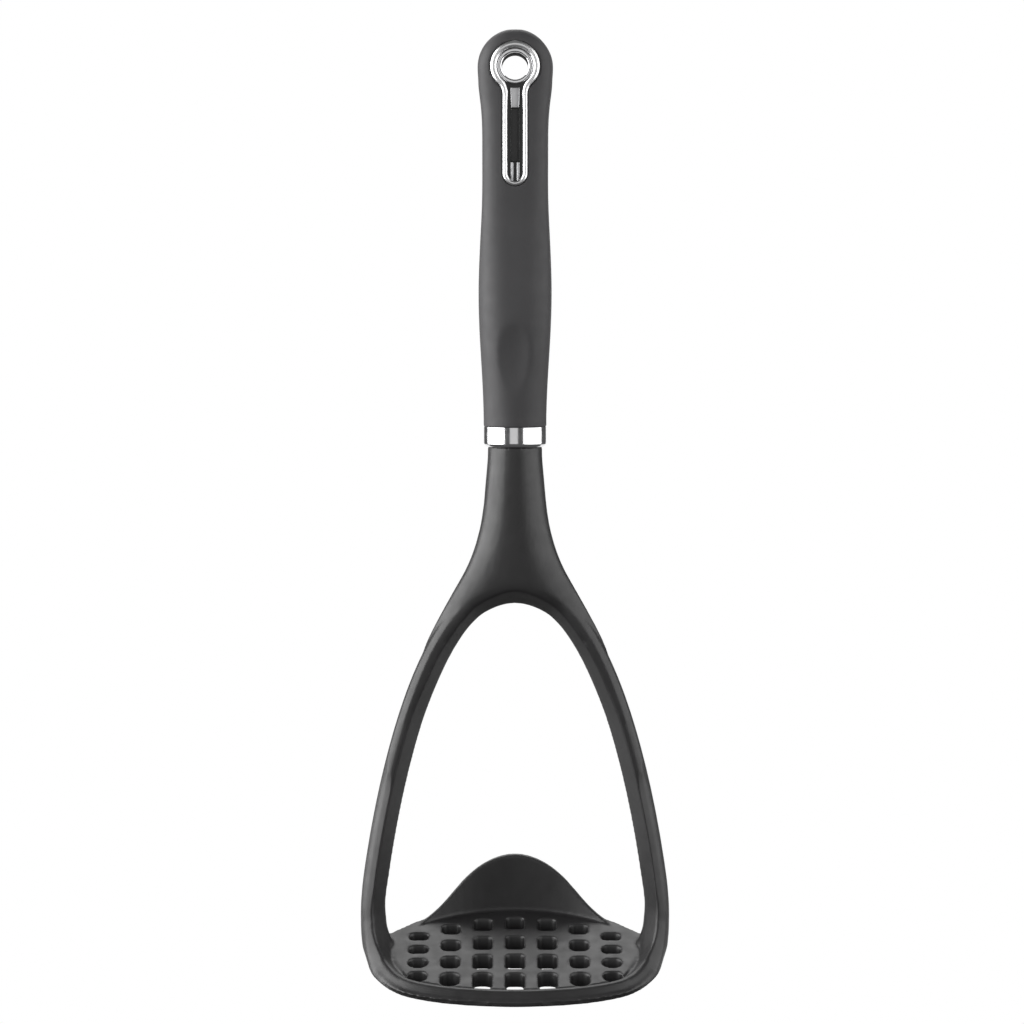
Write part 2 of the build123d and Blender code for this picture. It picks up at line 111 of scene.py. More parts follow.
@dataclass(frozen=True)
class Finish:
    """One procedural surface finish, all lengths in metres.

    Args:
        name: Name of the material.
        colour: Base colour, linear.
        metallic: 1 for bare metal, 0 for plastic and rubber.
        roughness: Mean roughness.
        roughness_spread: How far the roughness wanders each way.
        specular: Specular level of the shader.
        mottle: Share by which the colour wanders over large patches.
        mottle_size: Size of those patches.
        grain: How the fine texture runs.
        grain_size: Size of one grain of the fine texture.
        grain_depth: Height of the fine texture.
        wear: How much lighter rubbed edges are, 0 for none.
        wear_radius: How far the rubbed look reaches from an edge.
        sheen: Weight of the soft sheen at grazing angles.
    """

    SHEEN_ROUGHNESS = 0.4
    MOTTLE_DETAIL = 4.0
    GRAIN_DETAIL = 2.0
    SMEAR_DETAIL = 3.0
    SMEAR_SHARE = 3.0
    NOISE_RANGE = (0.3, 0.7)
    FLAT_TO_EDGE = (0.99, 0.8)
    EDGE_SAMPLES = 4

    name: str
    colour: Triple
    metallic: float = 0.0
    roughness: float = 0.5
    roughness_spread: float = 0.05
    specular: float = 0.5
    mottle: float = 0.08
    mottle_size: float = 0.012
    grain: Grain = Grain.EVEN
    grain_size: float = 0.0005
    grain_depth: float = 0.00001
    wear: float = 0.0
    wear_radius: float = 0.0004
    sheen: float = 0.0

    def material(self) -> bpy.types.Material:
        """Build the node material of this finish.

        Returns:
            The new material.
        """
        made = bpy.data.materials.new(self.name)
        made.use_nodes = True
        made.diffuse_color = (*self.colour, 1.0)
        tree = made.node_tree
        place = add_node(tree, "ShaderNodeTexCoord", {}).outputs["Object"]
        even, run = Grain.EVEN.value, self.grain.value
        mottle = self._noise(place, self.mottle_size, even, self.MOTTLE_DETAIL)
        shade = self._spread(mottle, 1.0 - self.mottle, 1.0 + self.mottle)
        tinted = {0: self.colour, "Scale": shade}
        tint = add_node(tree, "ShaderNodeVectorMath", tinted, operation="SCALE")
        colour = tint.outputs["Vector"]
        if self.wear > 0.0:
            colour = self._worn(colour, mottle)
        grain = self._noise(place, self.grain_size, run, self.GRAIN_DETAIL)
        smear_size = self.mottle_size / self.SMEAR_SHARE
        smear = self._noise(place, smear_size, run, self.SMEAR_DETAIL)
        least = self.roughness - self.roughness_spread
        most = self.roughness + self.roughness_spread
        rough = self._spread(smear, least, most)
        relief = {"Strength": 1.0, "Distance": self.grain_depth, "Height": grain}
        bump = add_node(tree, "ShaderNodeBump", relief)
        surface = {
            "Base Color": colour,
            "Metallic": self.metallic,
            "Roughness": rough,
            "Specular IOR Level": self.specular,
            "Sheen Weight": self.sheen,
            "Sheen Roughness": self.SHEEN_ROUGHNESS,
            "Normal": bump.outputs["Normal"],
        }
        fill(tree.nodes["Principled BSDF"], surface)
        return made

    def _noise(self, place: Socket, size: float, stretch: Triple, detail: float) -> Socket:
        """Add a noise pattern in the piece's own coordinates.

        Args:
            place: Socket with the piece's coordinates.
            size: Size of one patch, in metres.
            stretch: Scale of the coordinates along X, Y and Z.
            detail: Octaves of finer noise.

        Returns:
            The pattern's socket.
        """
        placed = {"Vector": place, "Scale": [share / size for share in stretch]}
        mapping = add_node(place.id_data, "ShaderNodeMapping", placed)
        pattern = {"Vector": mapping.outputs["Vector"], "Scale": 1.0, "Detail": detail}
        return add_node(place.id_data, "ShaderNodeTexNoise", pattern).outputs["Fac"]

    def _spread(self, pattern: Socket, low: float, high: float) -> Socket:
        """Spread a noise pattern between two values.

        Args:
            pattern: The noise pattern's socket.
            low: Value at the pattern's low end.
            high: Value at the pattern's high end.

        Returns:
            The spread pattern's socket.
        """
        least, most = self.NOISE_RANGE
        limits = {"From Min": least, "From Max": most, "To Min": low, "To Max": high}
        limits["Value"] = pattern
        return add_node(pattern.id_data, "ShaderNodeMapRange", limits).outputs["Result"]

    def _worn(self, colour: Socket, patchy: Socket) -> Socket:
        """Lighten the edges, unevenly, as rubbed plastic or metal.

        Args:
            colour: Socket with the colour so far.
            patchy: Noise that makes the wear uneven.

        Returns:
            The socket with the worn colour.
        """
        tree, radius = colour.id_data, {"Radius": self.wear_radius}
        bevel = add_node(tree, "ShaderNodeBevel", radius, samples=self.EDGE_SAMPLES)
        geometry = add_node(tree, "ShaderNodeNewGeometry", {})
        normals = {0: bevel.outputs["Normal"], 1: geometry.outputs["Normal"]}
        dot = add_node(tree, "ShaderNodeVectorMath", normals, operation="DOT_PRODUCT")
        flat, worn = self.FLAT_TO_EDGE
        limits = {"From Min": flat, "From Max": worn, "Value": dot.outputs["Value"]}
        edge = add_node(tree, "ShaderNodeMapRange", limits)
        factors = {0: edge.outputs["Result"], 1: patchy}
        uneven = add_node(tree, "ShaderNodeMath", factors, operation="MULTIPLY")
        lighter = [min(1.0, part + self.wear) for part in self.colour]
        colours = {"Factor": uneven.outputs["Value"], "A": colour, "B": (*lighter, 1.0)}
        return add_node(tree, "ShaderNodeMix", colours, data_type="RGBA").outputs["Result"]


NYLON = Finish(
    "head_nylon", (0.0175, 0.017, 0.0175), roughness=0.42, specular=0.55, mottle=0.1,
    grain_size=0.00045, grain_depth=0.000008, wear=0.03, wear_radius=0.0006,
)
SOFT_GRIP = Finish(
    "soft_grip", (0.050, 0.049, 0.051), roughness=0.58, roughness_spread=0.04,
    specular=0.4, mottle=0.05, grain_size=0.0004, grain_depth=0.000008,
    wear=0.02, sheen=0.05,
)
CHROME = Finish(
    "bright_chrome", (0.84, 0.84, 0.85), metallic=1.0, roughness=0.09,
    roughness_spread=0.03, mottle=0.02, grain_size=0.0008, grain_depth=0.0000005,
)
FERRULE_CHROME = Finish(
    "ferrule_chrome", (0.82, 0.82, 0.83), metallic=1.0, roughness=0.14,
    roughness_spread=0.04, mottle=0.02, grain=Grain.ROUND_HANDLE,
    grain_size=0.0003, grain_depth=0.0000008,
)
SATIN_METAL = Finish(
    "satin_metal", (0.66, 0.66, 0.67), metallic=1.0, roughness=0.3,
    roughness_spread=0.06, mottle=0.04, grain=Grain.ALONG_HANDLE,
    grain_size=0.00025, grain_depth=0.000002,
)
BEAD_METAL = Finish(
    "bead_metal", (0.88, 0.88, 0.885), metallic=1.0, roughness=0.3,
    roughness_spread=0.04, mottle=0.02, grain_size=0.0006, grain_depth=0.0000005,
)
GLOSS_BLACK = Finish(
    "gloss_black", (0.012, 0.012, 0.012), roughness=0.22, roughness_spread=0.04,
    mottle=0.05, grain_depth=0.000002,
)
MATT_BLACK = Finish(
    "matt_black", (0.008, 0.008, 0.008), roughness=0.8, specular=0.1, grain_depth=0.000004,
)
CORE_PLASTIC = Finish("core_plastic", (0.05, 0.05, 0.05), roughness=0.5)
PIN_STEEL = Finish(
    "pin_steel", (0.5, 0.5, 0.51), metallic=1.0, roughness=0.3,
    grain=Grain.ROUND_HANDLE, grain_depth=0.000001,
)


def eased(value: float, low: float, high: float) -> float:
    """Rise smoothly from 0 to 1 between two values."""
    share = min(1.0, max(0.0, (value - low) / (high - low)))
    return share * share * (3.0 - 2.0 * share)


def only(piece: Object) -> None:
    """Select one object alone and make it active.

    Args:
        piece: The object.
    """
    bpy.ops.object.select_all(action="DESELECT")
    piece.select_set(True)
    bpy.context.view_layer.objects.active = piece


def edit_all(piece: Object, operator: Callable[..., object], **options: object) -> None:
    """Run one mesh operator on the whole mesh of a piece.

    Args:
        piece: The mesh object.
        operator: The operator.
        options: What it is given.
    """
    only(piece)
    bpy.ops.object.mode_set(mode="EDIT")
    bpy.ops.mesh.select_all(action="SELECT")
    operator(**options)
    bpy.ops.object.mode_set(mode="OBJECT")


def smooth_line(points: list[Vector], steps: int) -> list[Vector]:
    """Run a smooth line through points.

    Args:
        points: Points that the line passes through.
        steps: Number of parts that the line is cut into.

    Returns:
        Points at even spacing along the line.
    """
    dense = []
    last = len(points) - 1
    for place in range(last):
        before = points[max(place - 1, 0)]
        start, end = points[place], points[place + 1]
        after = points[min(place + 2, last)]
        for part in range(CURVE_PARTS):
            share = part / CURVE_PARTS
            pull = (end - before) * 0.5
            push = (after - start) * 0.5
            cube, square = share**3, share**2
            dense.append(
                start * (2 * cube - 3 * square + 1)
                + pull * (cube - 2 * square + share)
                + end * (3 * square - 2 * cube)
                + push * (cube - square)
            )
    dense.append(points[-1])
    lengths = [0.0]
    for start, end in zip(dense, dense[1:]):
        lengths.append(lengths[-1] + (end - start).length)
    line, place = [], 0
    for step in range(steps + 1):
        wanted = lengths[-1] * step / steps
        while place < len(dense) - 2 and lengths[place + 1] < wanted:
            place += 1
        gap = lengths[place + 1] - lengths[place]
        share = min(1.0, (wanted - lengths[place]) / gap)
        line.append(dense[place].lerp(dense[place + 1], share))
    return line


def ray_at(degrees: float) -> Vector:
    """Point from the hole's axis at an angle over +X, in the XZ plane."""
    turn = math.radians(degrees)
    return Vector((math.cos(turn), 0.0, math.sin(turn)))


def tube_of_rings(name: str, rings: list[list[Vector]], closed: bool = False) -> Object:
    """Join a row of sections into a tube.

    Args:
        name: Name of the new object.
        rings: Sections with the same number of points each.
        closed: Whether the last section joins the first, instead of caps at both ends.

    Returns:
        The tube.
    """
    mesh = bpy.data.meshes.new(name)
    sides = len(rings[0])
    points = [tuple(point) for ring in rings for point in ring]
    faces = []
    for place in range(len(rings) if closed else len(rings) - 1):
        base, ahead = place * sides, (place + 1) % len(rings) * sides
        for side in range(sides):
            after = (side + 1) % sides
            faces.append([base + side, base + after, ahead + after, ahead + side])
    if not closed:
        faces.append(list(range(sides)))
        faces.append(list(range(len(points) - sides, len(points))))
    mesh.from_pydata(points, [], faces)
    tube = bpy.data.objects.new(name, mesh)
    bpy.context.scene.collection.objects.link(tube)
    edit_all(tube, bpy.ops.mesh.normals_make_consistent, inside=False)
    return tube


def merged_copy(node: str, name: str) -> Object:
    """Copy a carried-over node and close its loose triangles.

    Args:
        node: Name of the CAD node.
        name: Name of the copy.

    Returns:
        The copy, as one closed mesh.
    """
    piece = bpy.data.objects.new(name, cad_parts[node].data.copy())
    bpy.context.scene.collection.objects.link(piece)
    edit_all(piece, bpy.ops.mesh.remove_doubles, threshold=MERGE_REACH)
    return piece


def melt(piece: Object, voxel: float) -> None:
    """Melt what a mesh holds into one skin.

    Args:
        piece: The mesh object.
        voxel: Size of the grid.
    """
    only(piece)
    remesh = piece.modifiers.new("melt", "REMESH")
    remesh.mode = "VOXEL"
    remesh.voxel_size = voxel
    remesh.use_smooth_shade = True
    bpy.ops.object.modifier_apply(modifier=remesh.name)


def soften(piece: Object, weights: dict[float, list[int]], name: str, rounds: int) -> None:
    """Smooth the vertices of a mesh by their weights.

    Args:
        piece: The mesh object.
        weights: Vertices for each weight.
        name: Name of the vertex group.
        rounds: Rounds of smoothing.
    """
    only(piece)
    group = piece.vertex_groups.new(name=name)
    for weight, vertices in weights.items():
        group.add(vertices, weight, "REPLACE")
    smooth = piece.modifiers.new(name, "SMOOTH")
    smooth.factor = SMOOTH_FACTOR
    smooth.iterations = rounds
    smooth.vertex_group = group.name
    bpy.ops.object.modifier_apply(modifier=smooth.name)


def thin_out(piece: Object, most_faces: int) -> None:
    """Lower the number of triangles and shade the mesh smooth.

    Args:
        piece: The mesh object.
        most_faces: Triangles that stay.
    """
    only(piece)
    thin = piece.modifiers.new("thin_out", "DECIMATE")
    piece.data.calc_loop_triangles()
    thin.ratio = min(1.0, most_faces / len(piece.data.loop_triangles))
    bpy.ops.object.modifier_apply(modifier=thin.name)
    bpy.ops.object.shade_smooth()


def hand_over(piece: Object, finish: "Finish", slot: str, *nodes: str) -> None:
    """Dress a finished piece and fix it to the body.

    Args:
        piece: The piece.
        finish: Its finish.
        slot: The record's material slot; not used.
        nodes: CAD nodes that the piece stands for.
    """
    piece.data.materials.clear()
    piece.data.materials.append(finish.material())
    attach(piece, BODY)
    if nodes:
        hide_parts(*nodes)
    LOG.info("%s: %d faces", piece.name, len(piece.data.polygons))


@dataclass
class CarriedNode:
    """A CAD node that keeps its shape and gets a finish.

    Args:
        node: Name of the node.
        finish: Its finish.
    """

    node: str
    finish: Finish

    def dress(self) -> None:
        """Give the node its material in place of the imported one."""
        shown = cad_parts[self.node]
        shown.data.materials.clear()
        shown.data.materials.append(self.finish.material())
        LOG.info("carried %s with %s", self.node, self.finish.name)


@dataclass
class Handle:
    """Ferrule, collar, tray and what lies inside the handle.

    Args:
        parts: The carried-over nodes.
    """

    parts: tuple[CarriedNode, ...] = (
        CarriedNode("handle_core", CORE_PLASTIC),
        CarriedNode("tang_pin", PIN_STEEL),
        CarriedNode("ferrule", FERRULE_CHROME),
        CarriedNode("keyhole_tray", GLOSS_BLACK),
        CarriedNode("rear_collar", CHROME),
    )

    def build(self) -> None:
        """Dress every carried piece of the handle."""
        for part in self.parts:
            part.dress()


@dataclass
class Grip:
    """Soft sleeve with rounded window edges and a soft thumb dimple.

    Args:
        voxel: Size of the grid that melts the sleeve.
        edge_rounds: Rounds of smoothing everywhere.
        dimple_rounds: Rounds of smoothing round the dimple.
        dimple_middle: Height of the dimple's middle.
        dimple_span: Half height of the zone that is smoothed round it.
        dimple_half: Half width of that zone.
        dimple_front: Reach behind which the zone ends.
        most_faces: Triangles that the finished mesh keeps.
    """

    voxel: float = 0.0004
    edge_rounds: int = 3
    dimple_rounds: int = 60
    dimple_middle: float = -0.0981
    dimple_span: float = 0.017
    dimple_half: float = 0.0105
    dimple_front: float = -0.008
    most_faces: int = 150_000

    def build(self) -> None:
        """Model the grip and let it stand for the carried-over sleeve."""
        piece = merged_copy("grip_sleeve", "soft_grip")
        melt(piece, self.voxel)
        dimple, rest = [], []
        for vertex in piece.data.vertices:
            rest.append(vertex.index)
            spot = vertex.co
            level = abs(spot.z - self.dimple_middle) < self.dimple_span
            if level and spot.y < self.dimple_front and abs(spot.x) < self.dimple_half:
                dimple.append(vertex.index)
        soften(piece, {1.0: dimple}, "dimple", self.dimple_rounds)
        soften(piece, {1.0: rest}, "edges", self.edge_rounds)
        thin_out(piece, self.most_faces)
        hand_over(piece, SOFT_GRIP, "grip_rubber", "grip_sleeve")


@dataclass
class KeyholeTrim:
    """Bright bead, eyelet and bar of the keyhole trim, in millimetres.

    Args:
        ring_radius: Outer radius of the bead round the hole.
        stem_half: Half the width of the bead's stem.
        stem_drop: How far the stem reaches below the hole's middle.
        shoulder_radius: Radius of the inward curve between ring and stem.
        ring_width: Width of the bead round the hole.
        stem_width: Width of the bead along the stem.
        seat: Reach of the tray, on which everything sits.
        crown: Reach of the bead's highest line.
        hole_radius: Radius of the hanging hole.
        back: Reach of the hole's back end.
        dome: Height of the bead's domed part.
        width_blend: Heights between which the bead's width changes.
        bead_sharp: Angle over which the bead's edges stay sharp, degrees.
        spin_steps: Sections of a spun piece.
        liner_wall: Thickness of the bore's liner.
        tube_wall: Thickness of liner and eyelet together.
        flange_gap: Gap between the eyelet's flange and the bead.
        flange_rise: Height of the flange over the seat.
        liner_drop: How far the liner ends below the flange's front.
        flange_round: Round outer edge of the flange, as steps inwards and down.
        lip_round: Round edge at the hole, as steps outwards and down.
        block_round: Radius of the small blocks' edges.
        bar_size: Width, depth and height of the bar's block.
        bar_taper: Width of the block's lower end as a share of the upper one.
        highlight_line_size: Width, depth and height of one of the two metal lines that, with the
            black tray between them, paint the reflection of a convex bar.
        highlight_line_across: Distance of such a line from the middle.
        reflection_panel_size: Width, depth and height of the gloss black panel, a painted dark
            reflection in the bar's middle.
        heights: Middles of block, highlight lines and dark panel along the handle.
    """

    # Turns are in whole degrees.
    RING_TURN = 4
    SHOULDER_TURN = 8
    STEM_STEPS = 12
    TIP_TURN = 9
    DOME_TURN = 15
    SHOULDER_START = 6
    ROUND_STEPS = 3

    ring_radius: float = 8.1
    stem_half: float = 4.15
    stem_drop: float = 39.0
    shoulder_radius: float = 4.6
    ring_width: float = 2.15
    stem_width: float = 1.7
    seat: float = 6.6
    crown: float = 8.9
    hole_radius: float = 4.4
    back: float = -8.6
    dome: float = 0.9
    width_blend: Pair = (-12.0, -4.0)
    bead_sharp: float = 50.0
    spin_steps: int = 72
    liner_wall: float = 0.15
    tube_wall: float = 0.6
    flange_gap: float = 0.1
    flange_rise: float = 1.0
    liner_drop: float = 0.9
    flange_round: tuple[Pair, ...] = ((0.0, 0.45), (0.12, 0.15), (0.4, 0.0))
    lip_round: tuple[Pair, ...] = ((0.35, 0.05), (0.08, 0.2), (0.0, 0.5))
    block_round: float = 0.22
    bar_size: Triple = (3.1, 1.0, 6.6)
    bar_taper: float = 0.84
    highlight_line_size: Triple = (0.85, 1.0, 6.0)
    highlight_line_across: float = 1.0
    reflection_panel_size: Triple = (2.9, 0.6, 17.3)
    heights: Triple = (-10.3, -34.2, -22.4)

    def build(self) -> None:
        """Model every piece of the trim."""
        self._bead()
        self._eyelet()
        self._bar()

    def _outline(self) -> list[tuple[Vector, Vector]]:
        """Walk round the keyhole.

        Returns:
            Points of the outline and their inward directions, in the XZ plane.
        """
        reach = self.ring_radius + self.shoulder_radius
        hub_x = self.stem_half + self.shoulder_radius
        hub_z = -math.sqrt(reach**2 - hub_x**2)
        meet = math.degrees(math.atan2(hub_z, hub_x))
        tip_z = self.stem_half - self.stem_drop
        half = []
        for turn in range(90, int(meet) - 1, -self.RING_TURN):
            ray = ray_at(turn)
            half.append((ray * self.ring_radius, -ray))
        first = int(180.0 + meet) + self.SHOULDER_START
        for turn in range(first, 181, self.SHOULDER_TURN):
            ray = ray_at(turn)
            half.append((Vector((hub_x, 0.0, hub_z)) + ray * self.shoulder_radius, ray))
        for step in range(1, self.STEM_STEPS):
            level = hub_z + (tip_z - hub_z) * step / self.STEM_STEPS
            half.append((Vector((self.stem_half, 0.0, level)), Vector((-1.0, 0.0, 0.0))))
        for turn in range(0, -91, -self.TIP_TURN):
            ray = ray_at(turn)
            half.append((Vector((0.0, 0.0, tip_z)) + ray * self.stem_half, -ray))
        flip = Vector((-1.0, 1.0, 1.0))
        other = [(spot * flip, inward * flip) for spot, inward in reversed(half[1:-1])]
        return half + other

    def _bead(self) -> None:
        """Sweep a domed bead round the keyhole."""
        shoulder = self.crown - self.dome
        rings = []
        for spot, inward in self._outline():
            ring_share = eased(spot.z, *self.width_blend)
            width = self.stem_width + (self.ring_width - self.stem_width) * ring_share
            section = [(0.0, self.seat), (0.0, shoulder)]
            for turn in range(self.DOME_TURN, 180, self.DOME_TURN):
                bend = math.radians(turn)
                rise = shoulder + (self.crown - shoulder) * math.sin(bend)
                section.append((width * (1.0 - math.cos(bend)) / 2.0, rise))
            section += [(width, shoulder), (width, self.seat)]
            rings.append(
                [(spot + inward * deep - Vector((0.0, reach, 0.0))) * MM for deep, reach in section]
            )
        bead = tube_of_rings("keyhole_bead", rings, closed=True)
        bpy.ops.object.shade_smooth_by_angle(angle=math.radians(self.bead_sharp))
        hand_over(bead, BEAD_METAL, "bezel_chrome", "keyhole_bezel")

    def _spun(self, name: str, profile: list[Pair]) -> Object:
        """Spin a closed profile round the hole's axis.

        Args:
            name: Name of the new object.
            profile: Radii and reaches of the profile.

        Returns:
            The spun piece.
        """
        rings = []
        for step in range(self.spin_steps):
            turn = 2.0 * math.pi * step / self.spin_steps
            ray = Vector((math.cos(turn), 0.0, math.sin(turn)))
            rings.append([(ray * wide - Vector((0.0, reach, 0.0))) * MM for wide, reach in profile])
        piece = tube_of_rings(name, rings, closed=True)
        bpy.ops.object.shade_smooth_by_angle(angle=SHARP_ANGLE)
        return piece

    def _eyelet(self) -> None:
        """Spin the domed eyelet and the dark liner of its bore."""
        lip, liner_out = self.hole_radius, self.hole_radius + self.liner_wall
        wall = self.hole_radius + self.tube_wall
        rim = self.ring_radius - self.ring_width - self.flange_gap
        front = self.seat + self.flange_rise
        end = front - self.liner_drop
        tube = [(liner_out, self.back), (wall, self.back), (wall, self.seat), (rim, self.seat)]
        flange = [(rim - inwards, front - down) for inwards, down in self.flange_round]
        edge = [(lip + outwards, front - down) for outwards, down in self.lip_round]
        eyelet = self._spun(
            "hanging_eyelet_ring", tube + flange + edge + [(lip, end), (liner_out, end)]
        )
        hand_over(eyelet, CHROME, "eyelet_chrome", "hanging_eyelet")
        liner = self._spun(
            "bore_liner",
            [(lip, self.back), (liner_out, self.back), (liner_out, end), (lip, end)],
        )
        hand_over(liner, MATT_BLACK, "tray_black")

    def _block(
        self, name: str, size: Triple, across: float, height: float, lower_share: float = 1.0
    ) -> Object:
        """Model a small block with rounded edges.

        Args:
            name: Name of the new object.
            size: Width, depth and height.
            across: Middle across the handle.
            height: Middle along the handle.
            lower_share: Width of the lower end as a share of the upper one.

        Returns:
            The block.
        """
        place = (across, -(self.seat + size[1] / 2), height)
        bpy.ops.object.select_all(action="DESELECT")
        bpy.ops.mesh.primitive_cube_add(size=1.0, location=[part * MM for part in place])
        block = bpy.context.object
        block.name = name
        block.scale = [part * MM for part in size]
        bpy.ops.object.transform_apply(location=True, rotation=True, scale=True)
        for vertex in block.data.vertices:
            if vertex.co.z < height * MM:
                vertex.co.x = across * MM + (vertex.co.x - across * MM) * lower_share
        rounded = self.block_round * MM
        steps = self.ROUND_STEPS
        edit_all(block, bpy.ops.mesh.bevel, offset=rounded, segments=steps, affect="EDGES")
        bpy.ops.object.shade_smooth_by_angle(angle=SHARP_ANGLE)
        return block

    def _bar(self) -> None:
        """Model the bar: a tapered block, a dark panel and two metal lines, with painted reflection
        in the panel and in the gap between the lines.
        """
        block_height, highlight_line_height, reflection_panel_height = self.heights
        top = self._block("trim_bar", self.bar_size, 0.0, block_height, self.bar_taper)
        # Painted reflection: two metal lines with the black tray showing between them give the two
        # highlights and the dark middle of a convex bar.
        highlight_lines = [
            self._block(f"trim_highlight_line_{side}", self.highlight_line_size, across, highlight_line_height)
            for side, across in (("left", -self.highlight_line_across), ("right", self.highlight_line_across))
        ]
        only(top)
        for highlight_line in highlight_lines:
            highlight_line.select_set(True)
        bpy.ops.object.join()
        hand_over(top, SATIN_METAL, "bar_metal", "keyhole_bar")
        # Painted reflection: a gloss black panel gives the bar its dark middle band, which a metal
        # bar shows as a reflection.
        reflection_panel = self._block("painted_reflection_panel", self.reflection_panel_size, 0.0, reflection_panel_height)
        hand_over(reflection_panel, GLOSS_BLACK, "tray_black")


@dataclass
class Station:
    """One place on the centre line of the arms and the rim, with its section's limits.

    Args:
        centre: The place.
        outward: Direction away from the opening.
        front: Direction of the front, which turns up on the rim.
        way: Distance from the middle of the arch, in metres.
    """

    # Slopes of the faces: height lost for each step outwards or inwards.
    FLANK = 1.84
    OUTER_FALL = 0.52
    EDGE_FALL = 1.9
    BEVEL = 0.8
    # Values on the arms and what the rim adds to them or takes off, millimetres.
    RIDGE = (-0.6, 0.7, 1.0)
    TOP = (5.0, 1.95)
    HALF = (4.375, 1.075)
    FLAT = 1.2
    FLANK_REACH = 3.0
    EDGE_LEVEL = 0.6
    SPARE = 12.0
    ARCH_RISE = 2.8
    ARCH_OUT = (-1.5, 2.3)
    ARCH_FLOOR = 3.0
    BEVEL_LEVEL = -3.05
    BEVEL_OUT = -0.5
    BEVEL_SPARE = 5.0
    # Ways between which the sections change, metres.
    ARM_BLEND = (0.035, 0.085)
    RIDGE_BLEND = (0.035, 0.060)
    RIM_BLEND = (0.130, 0.152)
    ARCH_BLEND = (0.0, 0.020)
    BEVEL_BLEND = (0.118, 0.160)

    centre: Vector
    outward: Vector
    front: Vector
    way: float

    def limited(self, out: float, high: float) -> Pair:
        """Move a point of the section onto the nearest of the faces that bound it.

        Args:
            out: Distance outwards from the centre line, millimetres.
            high: Height towards the front, millimetres.

        Returns:
            The point's new distance and height.
        """
        arm = eased(self.way, *self.ARM_BLEND)
        rim = eased(self.way, *self.RIM_BLEND)
        at_arch, on_arm, on_rim = self.RIDGE
        ridge = at_arch + on_arm * eased(self.way, *self.RIDGE_BLEND) - on_rim * rim
        top = self.TOP[0] - self.TOP[1] * rim
        half = self.HALF[0] - self.HALF[1] * rim
        arch = self.TOP[0] + self.ARCH_RISE * (1.0 - eased(self.way, *self.ARCH_BLEND))
        near_arch = arm < 0.5 and self.ARCH_OUT[0] < out < self.ARCH_OUT[1]
        if near_arch and high > self.ARCH_FLOOR:
            high = max(high, min(top + (out - ridge) * self.FLANK, arch))
        below = self.way > self.ARM_BLEND[0] and out > ridge
        spare = self.SPARE * (1.0 - arm)
        inner = top + (out - ridge + self.FLAT * rim) * self.FLANK
        outer = top + spare - (out - ridge) * self.OUTER_FALL
        edge = self.EDGE_LEVEL + spare + (half - out) * self.EDGE_FALL
        faces = (
            (out < ridge + self.FLANK_REACH, inner, -self.FLANK),
            (below, outer, self.OUTER_FALL),
            (below, edge, self.EDGE_FALL),
        )
        for near, most, fall in faces:
            if near and high > most:
                apart = (high - most) / (1.0 + fall * fall)
                out, high = out - fall * apart, high - apart
        spare = self.BEVEL_SPARE * (1.0 - eased(self.way, *self.BEVEL_BLEND))
        least = self.BEVEL_LEVEL + (out - self.BEVEL_OUT) * self.BEVEL - spare
        if self.way > self.BEVEL_BLEND[0] and out > self.BEVEL_OUT and high < least:
            apart = (least - high) / (1.0 + self.BEVEL * self.BEVEL)
            out, high = out - self.BEVEL * apart, high + apart
        return out, high


